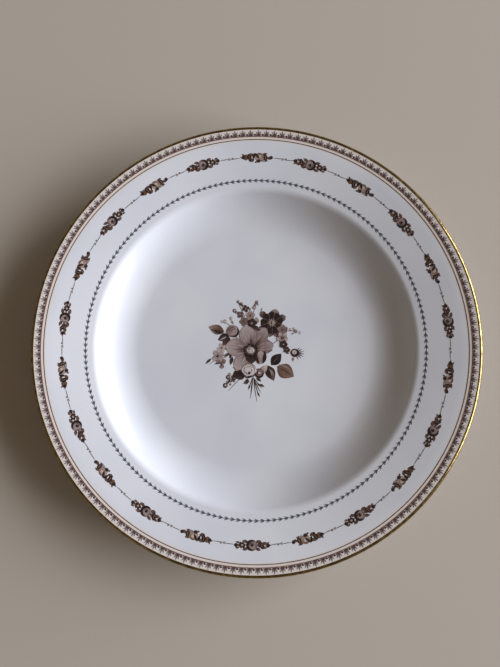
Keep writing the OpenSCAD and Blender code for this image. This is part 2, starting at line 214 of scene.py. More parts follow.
# ---------------------------------------------------------------- border lines
# Two thin lines printed round the rim under the lace: a tan one that carries it and a
# darker brown one inside. Enamel ink, laid on by a turning brush and fired on the glaze.
lace_line = turned("lace_line", "tan_line_under_lace")
inner_line = turned("inner_line", "brown_inner_line")
for piece, slot, name, stops in (
        (lace_line, "tan_line", "tan_brush_line_enamel", [(0.3, "6a4838"), (0.7, "8a6450")]),
        (inner_line, "brown_line", "brown_brush_line_enamel", [(0.3, "4a352b"), (0.7, "66493a")])):
    # Fired ink a little glossy, thicker and thinner where the brush went.
    ink, tree, shader = finish_of(name, {"Roughness": 0.3, "IOR": 1.5, "Coat Weight": 0.5,
                                         "Coat Roughness": 0.08})
    place = add(tree, "TexCoord").outputs["Object"]
    pull = add(tree, "TexNoise", {"Scale": 1 / (6 * MM), "Detail": 2.0}, {"Vector": place})
    tone = add(tree, "ValToRGB", {"stops": stops}, {"Fac": pull.outputs["Fac"]})
    tree.links.new(tone.outputs["Color"], shader.inputs["Base Color"])
    wear(piece, ink)

# ---------------------------------------------------------------- lace border
# A printed lace of beads and five-lobed palmettes in grey violet, standing on the tan line.
# It is a transfer print: each mark is a thin film of enamel fired on to the glaze.
FILM = 0.02          # thickness of the ink
OVER = 0.012         # how far one mark stands over another
INK_RISE = 0.061     # height of a line's top over the glaze it lies on
WELL_R = 60          # prints inside this radius lie on the floor of the well
WIDE_MARK = 11       # marks over this area in square mm have more of the ink map
MARGIN = 0.06        # share of its square that a mark keeps clear on each side
RIM_SLOPE = math.tan(math.radians(10))
LINE_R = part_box("inner_line")[1][0] / MM
LINE_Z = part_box("inner_line")[1][2] / MM - INK_RISE
FLOOR_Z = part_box("bouquet_anemone")[0][2] / MM


def nib(name, widths, across=2):
    """A flat mark 1 long and 1 wide, narrowed rib by rib to the widths given."""
    pick_nothing()
    ribs = len(widths) - 1
    bpy.ops.mesh.primitive_grid_add(x_subdivisions=ribs, y_subdivisions=across, size=1)
    mark = bpy.context.object
    mark.name = mark.data.name = name
    for i, wide in enumerate(widths):
        x = i / ribs - 0.5
        work_on(mark)
        pick_vertices(mark, lambda p: abs(p.x - x) < 1e-4)
        bpy.ops.transform.resize(value=(1, max(wide, 1e-3), 1), center_override=(x, 0, 0))
    bpy.ops.mesh.select_all(action="SELECT")
    bpy.ops.transform.translate(value=(0.5, 0, 0))
    bpy.ops.mesh.remove_doubles(threshold=2e-3)
    pick_nothing()
    bpy.context.scene.collection.objects.unlink(mark)
    return mark


in_hand = []     # the marks of the drawing in hand, each with its box and its size
under = []       # boxes and levels of the marks that are already down on this part


def lay(mark, x, y, turn, long, wide, tones, bow=0.0):
    """Lays a mark with its root at x, y. Tones are root, tip and edge, then how ochre."""
    piece = bpy.data.objects.new(mark.name, mark.data.copy())
    bpy.context.scene.collection.objects.link(piece)
    bend, c, s = math.radians(bow), math.cos(math.radians(turn)), math.sin(math.radians(turn))
    places = []
    for v in piece.data.vertices:
        px, py = v.co.x * long, v.co.y * wide
        if bend:
            a, r = bend * v.co.x, long / bend
            px, py = (r - py) * math.sin(a), r - (r - py) * math.cos(a)
        places.append((x + px * c - py * s, y + px * s + py * c))
    low = [min(p[k] for p in places) for k in (0, 1)]
    high = [max(p[k] for p in places) for k in (0, 1)]
    level = 1 + max([b[2] for b in under if b[0][0] < high[0] and b[1][0] > low[0]
                     and b[0][1] < high[1] and b[1][1] > low[1]], default=0)
    under.append((low, high, level))
    for v, p in zip(piece.data.vertices, places):
        v.co = Vector((p[0], p[1], FILM + level * OVER)) * MM
    ink = piece.data.color_attributes.new("Ink", "FLOAT_COLOR", "POINT")
    for each in ink.data:
        each.color = tones
    in_hand.append((piece, long * wide))


def dot(x, y, r, tones, squash=1.0):
    lay(ROUND, x - r, y, 0, 2 * r, 2 * r * squash, tones)


def arc(x, y, r, start, end, wide, tones):
    """A crescent about x, y at radius r, from one angle to another."""
    way = 1 if end > start else -1
    a = math.radians(start)
    lay(HOOK, x + r * math.cos(a), y + r * math.sin(a), start + 90 * way,
        r * abs(math.radians(end - start)), wide, tones, end - start)


def petals(x, y, count, first, hub, long, wide, tones):
    for k in range(count):
        a = first + 360 * k / count
        lay(PETAL, x + hub * math.cos(math.radians(a)), y + hub * math.sin(math.radians(a)),
            a, long, wide, tones)


def gathered(name):
    """Joins the marks in hand. Each has its own square of the ink map, the wide ones more."""
    wide_ones = [p for p, size in in_hand if size > WIDE_MARK]
    small_ones = [p for p, size in in_hand if size <= WIDE_MARK]
    side = math.ceil(math.sqrt(len(small_ones) + 4 * len(wide_ones)))
    side += 1 if wide_ones else 0
    free = [(c, r) for r in range(side) for c in range(side)]
    for piece in wide_ones + small_ones:
        span = 2 if piece in wide_ones else 1
        for c, r in free:
            block = [(c + i, r + j) for i in range(span) for j in range(span)]
            if all(b in free for b in block):
                break
        free = [f for f in free if f not in block]
        source = piece.data.uv_layers["UVMap"].data
        target = piece.data.uv_layers.new(name="OFBake").data
        for a, b in zip(source, target):
            b.uv = ((c + span * (MARGIN + (1 - 2 * MARGIN) * a.uv[0])) / side,
                    (r + span * (MARGIN + (1 - 2 * MARGIN) * a.uv[1])) / side)
    pick_nothing()
    for piece, size in in_hand:
        piece.select_set(True)
    bpy.context.view_layer.objects.active = in_hand[0][0]
    bpy.ops.object.join()
    drawing = bpy.context.object
    drawing.name = drawing.data.name = name
    in_hand.clear()
    return drawing


def round_the_rim(drawing, count, start, radius, turn):
    """Sets copies of a drawing round the rim, x outward at turn 0 and along it at 90."""
    copies = []
    for k in range(count):
        copy = bpy.data.objects.new(drawing.name, drawing.data.copy())
        bpy.context.scene.collection.objects.link(copy)
        copy.data.transform(Matrix.Rotation(math.radians(start + 360 * k / count), 4, "Z")
                            @ Matrix.Translation((radius * MM, 0, 0))
                            @ Matrix.Rotation(math.radians(turn), 4, "Z"))
        copies.append(copy)
    pick_nothing()
    for copy in copies:
        copy.select_set(True)
    bpy.context.view_layer.objects.active = copies[0]
    bpy.ops.object.join()
    whole = bpy.context.object
    bpy.data.objects.remove(drawing)
    return whole


def fire(piece, node, enamel):
    """Lets a print down on the plate's face, thickens it to a film and fires it on."""
    for v in piece.data.vertices:
        r = math.hypot(v.co.x, v.co.y) / MM
        ground = FLOOR_Z if r < WELL_R else LINE_Z + (r - LINE_R) * RIM_SLOPE
        v.co.z += ground * MM
    pick_nothing()
    piece.select_set(True)
    bpy.context.view_layer.objects.active = piece
    film = piece.modifiers.new("film", "SOLIDIFY")
    film.thickness, film.offset = FILM * MM, -1
    bpy.ops.object.modifier_apply(modifier="film")
    piece.name = piece.data.name = node + "_enamel"
    wear(piece, enamel)
    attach(piece, "root")
    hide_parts(node)


def transfer_enamel(name, plain, ochre, streaks=0.4):
    """Enamel ink from an engraved plate: each mark runs from its root's tone to its tip's,
    is darker along its edge, and is hatched along its length as the engraving is."""
    enamel, tree, shader = finish_of(name, {"Roughness": 0.3, "IOR": 1.5, "Coat Weight": 0.6,
                                            "Coat Roughness": 0.06})
    tones = add(tree, "Attribute", {"attribute_name": "Ink"})
    split = add(tree, "SeparateColor", {}, {0: tones.outputs["Color"]})
    chart = add(tree, "UVMap", {"uv_map": "UVMap"})
    ways = add(tree, "SeparateXYZ", {}, {0: chart.outputs[0]})
    run = add(tree, "MapRange", {"interpolation_type": "SMOOTHSTEP"}, {
        "Value": ways.outputs[0], "To Min": split.outputs[0], "To Max": split.outputs[1]})
    middle = add(tree, "Math", {"operation": "SUBTRACT", 1: 0.5}, {0: ways.outputs[1]})
    side = add(tree, "Math", {"operation": "ABSOLUTE"}, {0: middle.outputs[0]})
    edge = add(tree, "MapRange", {"interpolation_type": "SMOOTHSTEP", "From Min": 0.26,
                                  "From Max": 0.49},
               {"Value": side.outputs[0], "To Max": split.outputs[2]})
    tone = add(tree, "Math", {"operation": "MAXIMUM"}, {0: run.outputs[0], 1: edge.outputs[0]})
    lines = add(tree, "Mapping", {"Scale": (2.5, 17.0, 1.0)}, {"Vector": chart.outputs[0]})
    apart = add(tree, "VectorMath", {"operation": "MULTIPLY_ADD", 1: (31.0, 17.0, 23.0)},
                {0: tones.outputs["Color"], 2: lines.outputs[0]})
    hatch = add(tree, "TexNoise", {"Scale": 1.0, "Detail": 2.0}, {"Vector": apart.outputs[0]})
    less = add(tree, "Math", {"operation": "SUBTRACT", 1: 0.5}, {0: hatch.outputs["Fac"]})
    drawn = add(tree, "Math", {"operation": "MULTIPLY_ADD", 1: streaks},
                {0: less.outputs[0], 2: tone.outputs[0]})
    plain_ink = add(tree, "ValToRGB", {"stops": plain}, {"Fac": drawn.outputs[0]})
    ochre_ink = add(tree, "ValToRGB", {"stops": ochre}, {"Fac": drawn.outputs[0]})
    mixed = add(tree, "MixRGB", {}, {"Fac": tones.outputs["Alpha"],
                                     "Color1": plain_ink.outputs[0],
                                     "Color2": ochre_ink.outputs[0]})
    tree.links.new(mixed.outputs[0], shader.inputs["Base Color"])
    return enamel


LEAF = nib("leaf", [0, 0.6, 0.94, 1, 0.82, 0.46, 0])
PETAL = nib("petal", [0.2, 0.56, 0.84, 1, 0.97, 0.74, 0.2])
ROUND = nib("round", [0.1, 0.66, 0.87, 0.97, 1, 0.97, 0.87, 0.66, 0.1])
HOOK = nib("hook", [0.1, 0.5, 0.82, 0.98, 1, 0.98, 0.82, 0.5, 0.1], 1)
LINE = nib("line", [0.5, 1, 0.9, 0.3], 1)
LOBE = nib("lobe", [0.3, 0.8, 1, 0], 1)

# Grey violet transfer ink, thin enough for the white to show through.
lace_ink = transfer_enamel("grey_violet_transfer_enamel",
                           [(0.0, "dad8dc"), (0.3, "b3aeb3"), (0.6, "857c82"), (1.0, "3c2b2d")],
                           [(0.0, "d8cabb"), (0.4, "a58771"), (0.7, "714f3f"),
                                   (1.0, "3a1f17")], 0.3)
LACE_R, LACE_COUNT = 124.29, 170
PITCH = 2 * math.pi * LACE_R / LACE_COUNT
lay(LINE, 0.15, PITCH / 2, -90, PITCH, 0.42, (0.8, 0.8, 0.8, 0.7))
dot(0.75, 0.4 * PITCH, 0.56, (1, 1, 1, 0.5))
for way, long, wide in ((74, 2.2, 0.62), (-74, 2.2, 0.62), (37, 2.9, 0.68), (-37, 2.9, 0.68),
                        (0, 3.3, 0.74)):
    lay(LOBE, 0.2, -0.08 * PITCH, way, long, wide, (0.95, 0.5, 0.78, 0.28), -0.25 * way)
lace = round_the_rim(gathered("palmette"), LACE_COUNT, 0, LACE_R, 0)
fire(lace, "lace_border", lace_ink)
under.clear()

# ---------------------------------------------------------------- leaf chain
# Pairs of small pointed leaves along a thin stem, round the rim just outside the shoulder.
# The same transfer print in a cool near-black grey.
chain_ink = transfer_enamel("blue_grey_transfer_enamel",
                            [(0.0, "d6d8de"), (0.3, "adaeb7"), (0.6, "797884"), (1.0, "45424e")],
                            [(0.0, "d6d8de"), (0.3, "adaeb7"), (0.6, "7f7b83"),
                                    (1.0, "4b4650")], 0.3)
CHAIN_R, CHAIN_COUNT = 98.84, 181
STEP = 2 * math.pi * CHAIN_R / CHAIN_COUNT
lay(LINE, 0, -STEP / 2, 90, STEP, 0.62, (1, 1, 1, 0))
for side in (-1, 1):
    lay(LOBE, 0.05 * side, 0.4 * STEP, -90 + 22 * side, 2.75, 0.62, (0.95, 0.6, 0.85, 0))
chain = round_the_rim(gathered("leaf_pair"), CHAIN_COUNT, 0, CHAIN_R, 0)
fire(chain, "leaf_chain", chain_ink)
under.clear()

# ---------------------------------------------------------------- garland of sprays
# Eleven rose sprays and eleven blossom sprays by turns, on a thin thread. Sepia transfer
# with touches of ochre put in by hand before the plate went back in the kiln.
SEPIA = [(0.0, "dfd8d8"), (0.2, "beaeab"), (0.45, "86726f"), (0.7, "4b3736"), (1.0, "1e1211")]
OCHRE = [(0.0, "dbccb6"), (0.2, "bda07c"), (0.5, "876344"), (0.8, "442c1b"), (1.0, "20120b")]
sepia = transfer_enamel("sepia_transfer_enamel", SEPIA, OCHRE)
GARLAND_R, SPRAYS, FIRST = 111.94, 11, 7.5
HALF_STEP = 180 / SPRAYS

# rose spray
for x, y, turn, long, wide, ochre in (
        (1.8, 1.5, 16, 3.4, 1.9, 0.5), (1.8, -1.6, -18, 3.4, 1.8, 0.3),
        (-2.2, 1.5, 164, 3.6, 1.8, 0.5),
        (-2.2, -1.6, 196, 3.6, 1.8, 0.4), (2.6, 0, 2, 3.4, 2.4, 0.4),
        (-3.4, 0, 180, 5.4, 2.8, 0.6),
        (5.2, 0.7, 10, 3.6, 1.9, 0.8), (5.2, -0.8, -10, 3.4, 1.6, 0.5),
        (8.9, 0, 4, 2.0, 0.9, 0.6)):
    lay(LEAF, x, y, turn, long, wide, (0.72, 0.6, 0.82, ochre))
lay(LEAF, 6.2, -2.2, 112, 4.9, 2.5, (0.97, 0.88, 1, 0.25))
lay(LINE, 5.8, -1.3, 112, 2.6, 0.3, (0.5, 0.45, 0.4, 0.5))
lay(LEAF, 7.1, 1.2, 200, 2.4, 1.1, (0.8, 0.6, 0.8, 0.5))
dot(8.9, 0, 1.1, (0.95, 0.9, 1, 0.15))
lay(LEAF, 8.3, 0.8, 40, 1.8, 0.9, (0.75, 0.6, 0.7, 0.5))
lay(LEAF, -4.7, -2.1, 100, 4.3, 1.8, (0.95, 0.85, 1, 0.25))
lay(LEAF, -6.7, 2.0, -82, 4.1, 1.8, (0.9, 0.8, 1, 0.3))
dot(-5.7, 0, 0.6, (0.25, 0.25, 0.4, 0.4), 0.9)
lay(LEAF, -7.2, -1.3, 186, 2.4, 1.1, (0.75, 0.6, 0.8, 0.6))
lay(LEAF, -7.0, 1.3, 168, 2.4, 1.1, (0.7, 0.6, 0.8, 0.6))
dot(-9.1, 0, 1.05, (0.95, 0.85, 1, 0.25))
dot(-0.2, -0.1, 3.15, (0.42, 0.3, 0.5, 0.1), 0.98)
arc(-0.2, -0.1, 2.5, 300, 45, 1.6, (0.95, 1, 1, 0.1))
arc(-0.2, -0.1, 2.9, -62, 48, 0.4, (0.8, 0.75, 0.8, 0.2))
arc(0.1, -0.1, 2.0, -70, 66, 0.42, (0.65, 0.6, 0.6, 0.2))
arc(-0.2, 0, 1.25, 215, -30, 0.5, (0.85, 0.75, 0.8, 0.1))
dot(-0.1, 0, 0.78, (1, 1, 1, 0))
rose_drawing = gathered("rose_spray")
under.clear()

# blossom spray
for x, y, turn, long, wide, ochre in (
        (1.2, 1.0, 18, 3.6, 2.0, 0.5), (1.4, -1.2, -16, 3.4, 1.8, 0.4),
        (4.8, 0.4, 4, 3.4, 2.2, 0.95),
        (4.8, -0.8, -10, 3.0, 1.5, 0.6), (-3.2, 1.2, 168, 3.6, 1.8, 0.3),
        (-3.0, -1.4, 196, 3.6, 1.7, 0.5),
        (-6.0, 0.3, 178, 3.4, 1.9, 0.5), (7.9, 0, 2, 1.9, 0.9, 0.5)):
    lay(LEAF, x, y, turn, long, wide, (0.7, 0.58, 0.82, ochre))
lay(LEAF, 5.0, -2.2, 110, 4.9, 2.5, (1, 0.92, 1, 0.2))
lay(LINE, 4.7, -1.4, 110, 2.8, 0.3, (0.5, 0.45, 0.4, 0.6))
dot(7.8, 0, 1.05, (0.95, 0.9, 1, 0.15))
lay(LEAF, 7.2, -0.9, -36, 1.9, 0.9, (0.75, 0.6, 0.7, 0.6))
dot(-1.6, -0.3, 2.7, (0.36, 0.28, 0.55, 0.45), 0.92)
arc(-1.6, -0.4, 1.8, 150, 330, 0.5, (0.7, 0.65, 0.7, 0.4))
dot(-2.2, -0.8, 0.7, (0.15, 0.15, 0.3, 0.3))
lay(LEAF, 1.3, -2.7, 80, 3.9, 1.5, (1, 0.9, 1, 0.1))
lay(LEAF, 1.0, -2.7, 128, 4.4, 1.4, (0.95, 0.9, 1, 0.1))
dot(-1.1, 1.9, 1.25, (0.95, 0.85, 1, 0.1), 0.8)
lay(LEAF, -2.2, 1.5, 172, 3.0, 1.4, (0.5, 0.3, 0.6, 0))
lay(LEAF, -4.9, -2.0, 100, 4.1, 2.5, (0.92, 0.82, 1, 0.35))
lay(LINE, -5.1, -1.3, 98, 2.4, 0.3, (0.45, 0.4, 0.4, 0.6))
dot(-8.6, 0, 1.0, (0.92, 0.85, 1, 0.2))
dot(0.4, 2.6, 0.55, (0.7, 0.6, 0.8, 0.6))
blossom_drawing = gathered("blossom_spray")
under.clear()

for drawing, node, slot, extra in ((rose_drawing, "rose_sprays", "rose_print", 0),
                                   (blossom_drawing, "blossom_sprays", "blossom_print", 1)):
    sprays = round_the_rim(drawing, SPRAYS, FIRST + extra * HALF_STEP, GARLAND_R, 90)
    fire(sprays, node, sepia)

# threads, each with a leaf pair and a small bud at its middle
RUN = math.radians(HALF_STEP) * GARLAND_R - 10.0 - 9.5 - 0.6
lay(LINE, -RUN / 2, 0, 2, RUN / 2, 0.5, (0.55, 0.75, 0.6, 0.3))
lay(LINE, RUN / 2, 0, 182, RUN / 2, 0.5, (0.55, 0.75, 0.6, 0.3))
lay(LEAF, -0.4, 0.1, 18, 1.7, 0.6, (0.6, 0.5, 0.6, 0.6))
lay(LEAF, -0.4, -0.1, -20, 1.5, 0.55, (0.6, 0.5, 0.6, 0.3))
dot(-1.5, -0.3, 0.55, (0.75, 0.7, 0.8, 0))
thread_ink = transfer_enamel("thin_grey_brown_transfer_enamel",
                             [(0.0, "dad9dd"), (0.3, "b5b2b5"), (0.6, "85807f"), (1.0, "3d3433")],
                             OCHRE)
threads = []
drawing = gathered("thread")
for k, lead in ((0, 10.0), (1, 9.5)):
    middle = math.degrees((lead + 0.3 + RUN / 2) / GARLAND_R)
    copy = bpy.data.objects.new("thread", drawing.data.copy())
    bpy.context.scene.collection.objects.link(copy)
    threads.append(round_the_rim(copy, SPRAYS, FIRST + k * HALF_STEP + middle, GARLAND_R, 90))
bpy.data.objects.remove(drawing)
pick_nothing()
for piece in threads:
    piece.select_set(True)
bpy.context.view_layer.objects.active = threads[0]
bpy.ops.object.join()
fire(threads[0], "link_threads", thread_ink)
under.clear()

# ---------------------------------------------------------------- bouquet: stems and sprigs
# The bouquet in the well is one engraved drawing in the same sepia, with a little ochre.
# Its stems and its light sprigs of buds lie at the bottom, so they are laid first.
for x, y, turn, long, wide, bow in ((-1.4, -17.0, -94, 12.6, 0.6, -6),
        (-1.0, -17.0, -86, 14.6, 0.5, 8),
                                    (-0.8, -17.4, -80, 11.4, 0.55, 14),
                                    (-0.6, -17.8, -70, 9.2, 0.5, 10),
                                    (-1.8, -17.4, -104, 7.6, 0.5, -10),
                                    (-1.6, -18.0, -98, 10.0, 0.45, 4),
                                    (-0.2, -18.0, -58, 7.0, 0.45, 12)):
    lay(LINE, x, y, turn, long, wide, (0.85, 0.7, 0.75, 0.15), bow)
for x, y, turn, long, wide in ((1.2, -25.6, -62, 3.4, 1.0), (2.6, -21.0, -30, 3.4, 1.4),
                               (1.2, -20.4, -44, 3.2, 1.1), (-3.2, -21.4, -104, 2.8, 1.1)):
    lay(LEAF, x, y, turn, long, wide, (0.85, 0.6, 0.8, 0.15))
fire(gathered("stems"), "bouquet_stems", sepia)

for x, y, turn, long, bow in (
        (-5.5, 17.5, 112, 12.0, 8), (-6.0, 17.0, 128, 9.0, 10), (-12.5, 12.0, 140, 9.6, 16),
        (-1.8, 17.0, 78, 12.0, 6), (-2.8, 18.0, 96, 6.0, -8), (16.5, 10.2, 10, 9.6, -16),
        (-16.0, -2.5, 205, 13.4, 10), (-17.0, -5.0, 190, 8.0, -10), (-8.0, -16.0, 210, 9.4, -8),
        (-8.0, -17.0, 222, 11.2, 6), (-10.0, -17.0, 200, 7.4, -14), (17.4, 3.2, -58, 5.6, 20),
        (19.5, -1.6, -12, 4.2, 8), (8.0, 1.0, 40, 8.6, -10)):
    lay(LINE, x, y, turn, long, 0.42, (0.6, 0.7, 0.6, 0.2), bow)
for x, y, r, tone in (
        (-10.3, 28.3, 0.9, 0.7), (-8.4, 26.9, 1.1, 0.75), (-7.2, 25.6, 0.8, 0.7),
        (-12.4, 22.9, 1.2, 0.6),
        (-11.4, 21.8, 0.7, 0.7), (-14.6, 18.3, 1.0, 0.4), (-18.2, 16.4, 1.2, 0.35),
        (-20.0, 16.2, 0.8, 0.3),
        (0.9, 28.0, 1.0, 0.55), (0.0, 26.4, 0.8, 0.6), (-0.6, 24.8, 1.2, 0.5),
        (1.6, 26.6, 0.6, 0.5),
        (20.8, 11.6, 0.8, 0.35), (24.2, 10.4, 1.1, 0.6), (23.0, 11.8, 0.8, 0.4),
        (26.6, 9.4, 0.9, 0.25),
        (-16.2, -16.9, 1.3, 0.85), (-13.4, -16.8, 1.0, 0.8), (-14.6, -18.8, 1.2, 0.7),
        (-17.8, -21.8, 1.5, 0.75), (-16.4, -20.0, 0.9, 0.6), (-15.2, -15.2, 0.9, 0.5),
        (-14.8, -21.2, 0.7, 0.6), (-12.6, -19.2, 0.8, 0.6)):
    dot(x, y, r, (tone, tone - 0.2, min(1, tone + 0.25), 0.1))
    dot(x + 0.1, y + 0.15, r * 0.36, (0.15, 0.1, 0.3, 0.1))
for x, y, turn, long, wide, tone in (
        (-26.0, -5.6, 222, 5.2, 1.4, 0.75), (-7.6, 25.6, 138, 3.2, 1.2, 0.7),
        (0.2, 26.4, 60, 2.4, 1.0, 0.5),
        (22.4, 10.6, -20, 3.0, 0.9, 0.45), (23.4, 9.4, 200, 2.4, 0.9, 0.4),
        (-11.4, -18.2, 190, 3.2, 1.3, 0.7),
        (-11.0, -16.2, 160, 2.8, 1.2, 0.6), (-14.8, -18.4, 232, 3.0, 1.2, 0.65),
        (4.2, 24.6, 250, 2.6, 1.0, 0.3),
        (-3.6, 22.8, 60, 2.2, 1.0, 0.35), (20.2, -3.0, 160, 2.4, 1.2, 0.4),
        (-13.0, 14.6, 120, 3.4, 1.4, 0.3)):
    lay(LEAF, x, y, turn, long, wide, (tone + 0.15, tone, min(1, tone + 0.2), 0.15))
fire(gathered("sprigs"), "bouquet_sprigs", sepia)

# ---------------------------------------------------------------- bouquet: leaves
# Dark leaves and one broad veined one. Each has its midrib and the hatching of its shade.
for x, y, turn, long, wide, root, tip, edge, ochre in (
        (9.5, -9.8, 49, 9.2, 6.0, 1.0, 0.94, 1, 0.0),
        (7.0, -9.8, -66, 10.2, 6.0, 0.9, 0.6, 1, 0.1),
        (13.0, -10.4, -32, 11.8, 9.0, 0.62, 0.5, 0.72, 0.5),
        (-18.4, 10.0, 161, 10.2, 6.0, 0.72, 0.4, 0.6, 0.4),
        (-15.2, 8.4, 204, 7.8, 4.8, 0.95, 0.75, 1, 0.1),
        (-15.0, 6.8, 228, 6.8, 4.4, 0.9, 0.65, 0.95, 0.1),
        (-7.0, -12.6, 214, 8.0, 5.4, 1, 0.88, 1, 0.15),
        (-7.8, -10.8, 184, 5.4, 4.4, 0.75, 0.6, 0.85, 0.4),
        (-6.2, -16.4, 196, 5.0, 2.8, 0.95, 0.75, 1, 0.1),
        (-4.2, -17.8, -112, 3.8, 2.4, 0.9, 0.7, 1, 0.1),
        (-13.8, -1.2, 252, 5.0, 1.9, 0.9, 0.8, 1, 0.1),
        (-13.6, -4.6, 258, 5.2, 2.0, 0.9, 0.75, 1, 0.1),
        (-15.0, -2.4, 214, 4.4, 1.6, 0.8, 0.6, 0.9, 0.1),
        (-16.0, -0.6, 150, 3.6, 1.6, 0.7, 0.5, 0.8, 0.1),
        (3.0, 14.4, 20, 5.0, 3.4, 0.8, 0.6, 0.9, 0.2),
        (1.0, 14.8, 96, 4.4, 3.0, 0.45, 0.3, 0.6, 0.5),
        (-4.4, -18.8, 218, 3.4, 1.6, 0.8, 0.6, 0.8, 0.1),
        (0.6, -17.2, -36, 3.8, 1.8, 0.85, 0.65, 0.9, 0.1),
        (2.4, 12.4, 178, 5.0, 3.0, 0.85, 0.6, 0.9, 0.1)):
    lay(LEAF, x, y, turn, long, wide, (root, tip, edge, ochre))
for x, y, turn, long, wide, tone, ochre, bow in (
        (10.4, -8.6, 49, 6.0, 0.32, 0.6, 0, 0), (6.6, -11.0, -76, 7.6, 1.9, 1.0, 0, 22),
        (8.4, -11.6, -66, 5.4, 0.4, 0.25, 0, -6), (9.4, -12.2, -64, 4.6, 0.36, 0.25, 0, -6),
        (13.8, -11.0, -32, 9.6, 0.5, 0.85, 0.5, 0), (15.6, -12.0, -2, 3.8, 0.4, 0.75, 0.5, -14),
        (17.6, -13.2, -6, 3.6, 0.4, 0.75, 0.5, -14), (15.2, -12.0, -66, 3.4, 0.4, 0.75, 0.5, 14),
        (17.6, -13.6, -62, 3.2, 0.4, 0.7, 0.5, 14), (19.6, -14.6, -8, 2.6, 0.36, 0.7, 0.5, -12),
        (14.0, -9.6, -10, 7.4, 1.5, 0.5, 0.15, -22), (-18.9, 9.2, 166, 8.0, 1.6, 0.95, 0.1, -12),
        (-19.6, 10.4, 158, 7.0, 0.4, 0.75, 0.3, 6), (-20.4, 11.4, 142, 2.8, 0.36, 0.65, 0.3, 0),
        (-17.0, 7.4, 208, 4.6, 0.9, 0.3, 0.1, 0), (-9.0, -12.4, 190, 3.4, 0.8, 0.35, 0.6, 0)):
    lay(LEAF, x, y, turn, long, wide, (tone, tone - 0.1, tone, ochre), bow)
fire(gathered("leaves"), "bouquet_leaves", sepia)

# ---------------------------------------------------------------- bouquet: dark flower
# A full dark flower at the upper right, its petals near black, with a pale hatched eye.
for x, y, turn, long, wide, root, tip, edge in (
        (11.2, 19.0, 76, 4.8, 5.0, 0.75, 0.35, 0.65), (6.6, 18.6, 136, 5.0, 4.0, 0.9, 0.55, 0.9),
        (14.0, 17.4, 26, 4.6, 4.2, 0.9, 0.5, 0.8), (9.2, 12.0, -102, 5.0, 4.6, 0.95, 0.5, 0.8),
        (12.0, 12.0, -76, 5.2, 4.4, 0.9, 0.45, 0.8), (6.4, 12.6, 196, 4.8, 4.0, 0.9, 0.6, 0.9)):
    lay(PETAL, x, y, turn, long, wide, (root, tip, edge, 0.05))
petals(10, 15.6, 9, 12, 1.6, 5.2, 4.5, (1, 0.95, 1, 0))
for k in range(9):
    a = math.radians(12 + 20 + 40 * k)
    lay(LINE, 10 + 3.0 * math.cos(a), 15.6 + 3.0 * math.sin(a), 32 + 40 * k, 2.9, 0.3,
        (0.6, 0.5, 0.5, 0.1))
for k in range(12):
    a = math.radians(30 * k + 8)
    lay(LINE, 10 + 1.3 * math.cos(a), 15.6 + 1.3 * math.sin(a), 30 * k + 8, 1.9 - 0.5 * (k % 2),
            0.42,
        (0.2, 0.45, 0.4, 0.2))
dot(10, 15.6, 1.75, (0.4, 0.3, 0.55, 0.3))
lay(LEAF, 9.8, 14.5, 92, 2.2, 0.75, (1, 1, 1, 0))
fire(gathered("dark_flower"), "bouquet_dark_flower", sepia)

# ---------------------------------------------------------------- bouquet: small flowers
# Pale round flowers down the right side and on the left, and a bud with long sepals.
for x, y, count, first, long, wide, root, tip, edge in (
        (16.4, 11.4, 5, 20, 2.5, 2.3, 0.55, 0.3, 0.6),
        (16.2, 6.4, 5, 50, 2.8, 2.4, 0.45, 0.08, 0.6),
        (16.9, 2.6, 5, 0, 1.9, 1.9, 0.9, 0.75, 1), (-22.2, -4.3, 4, 38, 3.2, 2.8, 0.4, 0.15, 0.5),
        (-20.2, -8.6, 3, 160, 2.6, 2.2, 0.6, 0.3, 0.75),
        (-20.0, 0.6, 4, 20, 2.2, 1.9, 0.25, 0.12, 0.42),
        (-2.9, 19.9, 5, 18, 2.3, 2.1, 0.45, 0.2, 0.6),
        (-6.6, 16.3, 5, 40, 2.2, 2.1, 0.6, 0.4, 0.7),
        (-1.9, 15.3, 5, 10, 2.3, 2.3, 0.8, 0.85, 1), (-8.9, 20.5, 4, 50, 1.7, 1.7, 0.7, 0.5, 0.85),
        (-5.6, 24.1, 4, 15, 1.7, 1.7, 0.85, 0.6, 0.95),
        (18.9, -0.7, 5, 0, 1.4, 1.4, 0.8, 0.7, 0.95)):
    petals(x, y, count, first, 0.3, 1.16 * long, 1.2 * wide, (root, tip + 0.1, edge, 0.12))
    dot(x, y, 0.26 * long, (1 - root if root > 0.6 else 0.85, 0.5, 0.6, 0.2))
for x, y, turn, long, wide, tone in ((15.2, 7.6, -40, 3.2, 0.4, 0.9),
        (15.4, 5.4, 40, 3.0, 0.4, 0.9),
                                     (17.6, 4.0, 200, 2.6, 0.5, 0.95),
                                     (18.2, 9.6, 70, 3.4, 0.5, 0.7),
                                     (-23.4, -4.6, 0, 1.2, 0.7, 0.95),
                                     (-22.2, -3.4, -90, 1.8, 0.5, 0.9),
                                     (-21.4, -8.2, 200, 3.2, 0.7, 0.85),
                                     (-19.4, -9.2, 30, 2.0, 0.5, 0.8),
                                     (14.0, 9.6, 250, 3.0, 0.7, 0.85)):
    lay(LEAF, x, y, turn, long, wide, (tone, tone - 0.1, tone, 0.1))
for turn, long in ((-78, 4.6), (-50, 4.8), (-28, 5.2), (-8, 5.4), (12, 5.2), (36, 4.6), (62, 4.0)):
    lay(LEAF, 24.2, -2.6, turn, long, 0.62, (0.95, 0.7, 0.85, 0.1), -0.2 * turn)
dot(23.5, -2.5, 2.5, (0.85, 0.95, 1, 0.05))
dot(23.3, -2.1, 1.4, (0.2, 0.1, 0.4, 0.1))
lay(LEAF, 23.2, -3.0, 60, 1.8, 0.4, (0.7, 0.6, 0.6, 0.1))
lay(LEAF, 22.6, -5.0, -96, 2.8, 1.6, (0.5, 0.35, 0.5, 0.8))
